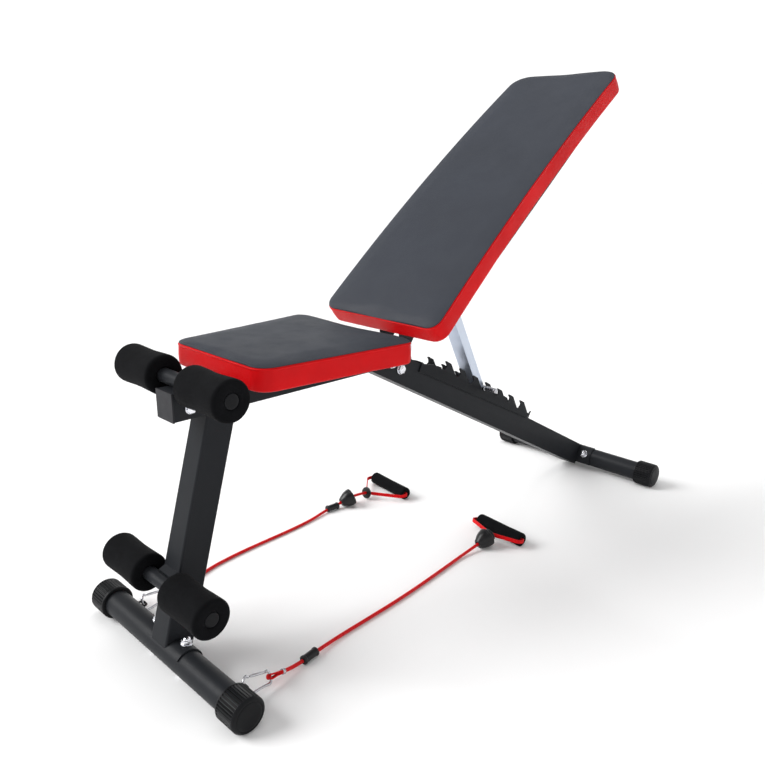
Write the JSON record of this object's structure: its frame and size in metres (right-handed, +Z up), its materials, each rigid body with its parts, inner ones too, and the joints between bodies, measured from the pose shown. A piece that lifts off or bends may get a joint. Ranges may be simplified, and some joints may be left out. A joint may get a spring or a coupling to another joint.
{
  "type": "decline sit up bench",
  "caption": "Sloping sit up bench with a level seat, a backrest reclined by a strut on a toothed ladder, foam leg rollers and clip-on resistance bands.",
  "frame": {"origin": "on the floor, midway between the front foot rollers and the rear foot caps, on the centre plane", "axes": "+X to the right of someone facing the rear, +Y from the leg rollers towards the head end, +Z up"},
  "size_m": [0.5646, 1.41, 1.0638],
  "materials": {
    "frame_paint": "satin black powder coat",
    "cap_plastic": "ribbed matte black",
    "fastener": "bright plated",
    "strut_metal": "silver with a cool tint",
    "board": "black painted plywood",
    "upholstery": "grained dark grey top with red side panels",
    "roller_foam": "closed-cell foam",
    "hook_metal": "plated wire",
    "band_rubber": "smooth red latex",
    "band_webbing": "woven red tape",
    "band_plastic": "moulded black",
    "grip_foam": "soft foam"
  },
  "bodies": {
    "frame": {"band_crimps": "hook_metal", "band_discs": "band_plastic", "band_eyes": "frame_paint", "band_sleeves": "band_plastic", "beam_end_cap": "cap_plastic", "beam_tongue": "frame_paint", "cord_left": "band_rubber", "cord_right": "band_rubber", "foot_bolts": "fastener", "foot_nuts": "fastener", "frame_bolts": "fastener", "frame_lugs": "frame_paint", "frame_nuts": "fastener", "front_foot_caps": "cap_plastic", "front_foot_tube": "frame_paint", "front_post": "frame_paint", "front_saddle": "frame_paint", "grip_left": "grip_foam", "grip_right": "grip_foam", "hook_left": "hook_metal", "hook_right": "hook_metal", "ladder_left": "frame_paint", "ladder_right": "frame_paint", "lower_bar_cradle": "frame_paint", "lower_roller_bar": "frame_paint", "rear_foot_caps": "cap_plastic", "rear_foot_tube": "frame_paint", "rear_leg": "frame_paint", "rear_saddle": "frame_paint", "roller_bar_plugs": "cap_plastic", "seat_beam": "frame_paint", "seat_board": "board", "seat_pad": "upholstery", "seat_screws": "fastener", "seat_straps": "frame_paint", "stopper_left": "band_plastic", "stopper_right": "band_plastic", "strap_left": "band_webbing", "strap_right": "band_webbing", "upper_roller_bar": "frame_paint", "webbing_left": "band_webbing", "webbing_right": "band_webbing"},
    "backrest": {"backrest_pad": "upholstery", "backrest_board": "board", "backrest_rail": "frame_paint", "rail_end_plug": "cap_plastic", "backrest_strap": "frame_paint", "backrest_hinge_bracket": "frame_paint", "hinge_bolt": "fastener", "hinge_nut": "fastener", "strut_pivot_pin": "fastener"},
    "strut": {"strut": "strut_metal", "cross_pin": "fastener"},
    "gate_left": {"gate_left": "hook_metal"},
    "gate_right": {"gate_right": "hook_metal"},
    "lower_roller_left": {"lower_roller_left": "roller_foam"},
    "lower_roller_right": {"lower_roller_right": "roller_foam"},
    "upper_roller_left": {"upper_roller_left": "roller_foam"},
    "upper_roller_right": {"upper_roller_right": "roller_foam"}
  },
  "joints": [
    {"name": "backrest_recline", "type": "hinge", "parent": "frame", "child": "backrest", "pos_m": [0, -0.093, 0.487], "axis": [1, 0, 0], "range_deg": [0, 29]},
    {"name": "strut_swing", "type": "hinge", "parent": "backrest", "child": "strut", "pos_m": [0, 0.0245, 0.63041], "axis": [1, 0, 0], "range_deg": [-20.2, 0.5]},
    {"name": "lower_roller_left_spin", "type": "hinge", "parent": "frame", "child": "lower_roller_left", "pos_m": [0, -0.6695, 0.163], "axis": [1, 0, 0], "continuous": true},
    {"name": "lower_roller_right_spin", "type": "hinge", "parent": "frame", "child": "lower_roller_right", "pos_m": [0, -0.6695, 0.163], "axis": [1, 0, 0], "continuous": true},
    {"name": "upper_roller_left_spin", "type": "hinge", "parent": "frame", "child": "upper_roller_left", "pos_m": [0, -0.6122, 0.5141], "axis": [1, 0, 0], "continuous": true},
    {"name": "upper_roller_right_spin", "type": "hinge", "parent": "frame", "child": "upper_roller_right", "pos_m": [0, -0.6122, 0.5141], "axis": [1, 0, 0], "continuous": true},
    {"name": "gate_right_open", "type": "hinge", "parent": "frame", "child": "gate_right", "pos_m": [0.17111, -0.58746, 0.03013], "axis": [0.853, 0.1728, 0.4925], "range_deg": [0, 22], "stiffness_Nm_per_rad": 0.002},
    {"name": "gate_left_open", "type": "hinge", "parent": "frame", "child": "gate_left", "pos_m": [-0.17719, -0.59069, 0.03027], "axis": [0.8058, 0.3665, 0.4652], "range_deg": [0, 22], "stiffness_Nm_per_rad": 0.002}
  ],
  "couplings": [
    {"joint": "strut_swing", "follows": "backrest_recline", "ratio": -0.68}
  ]
}
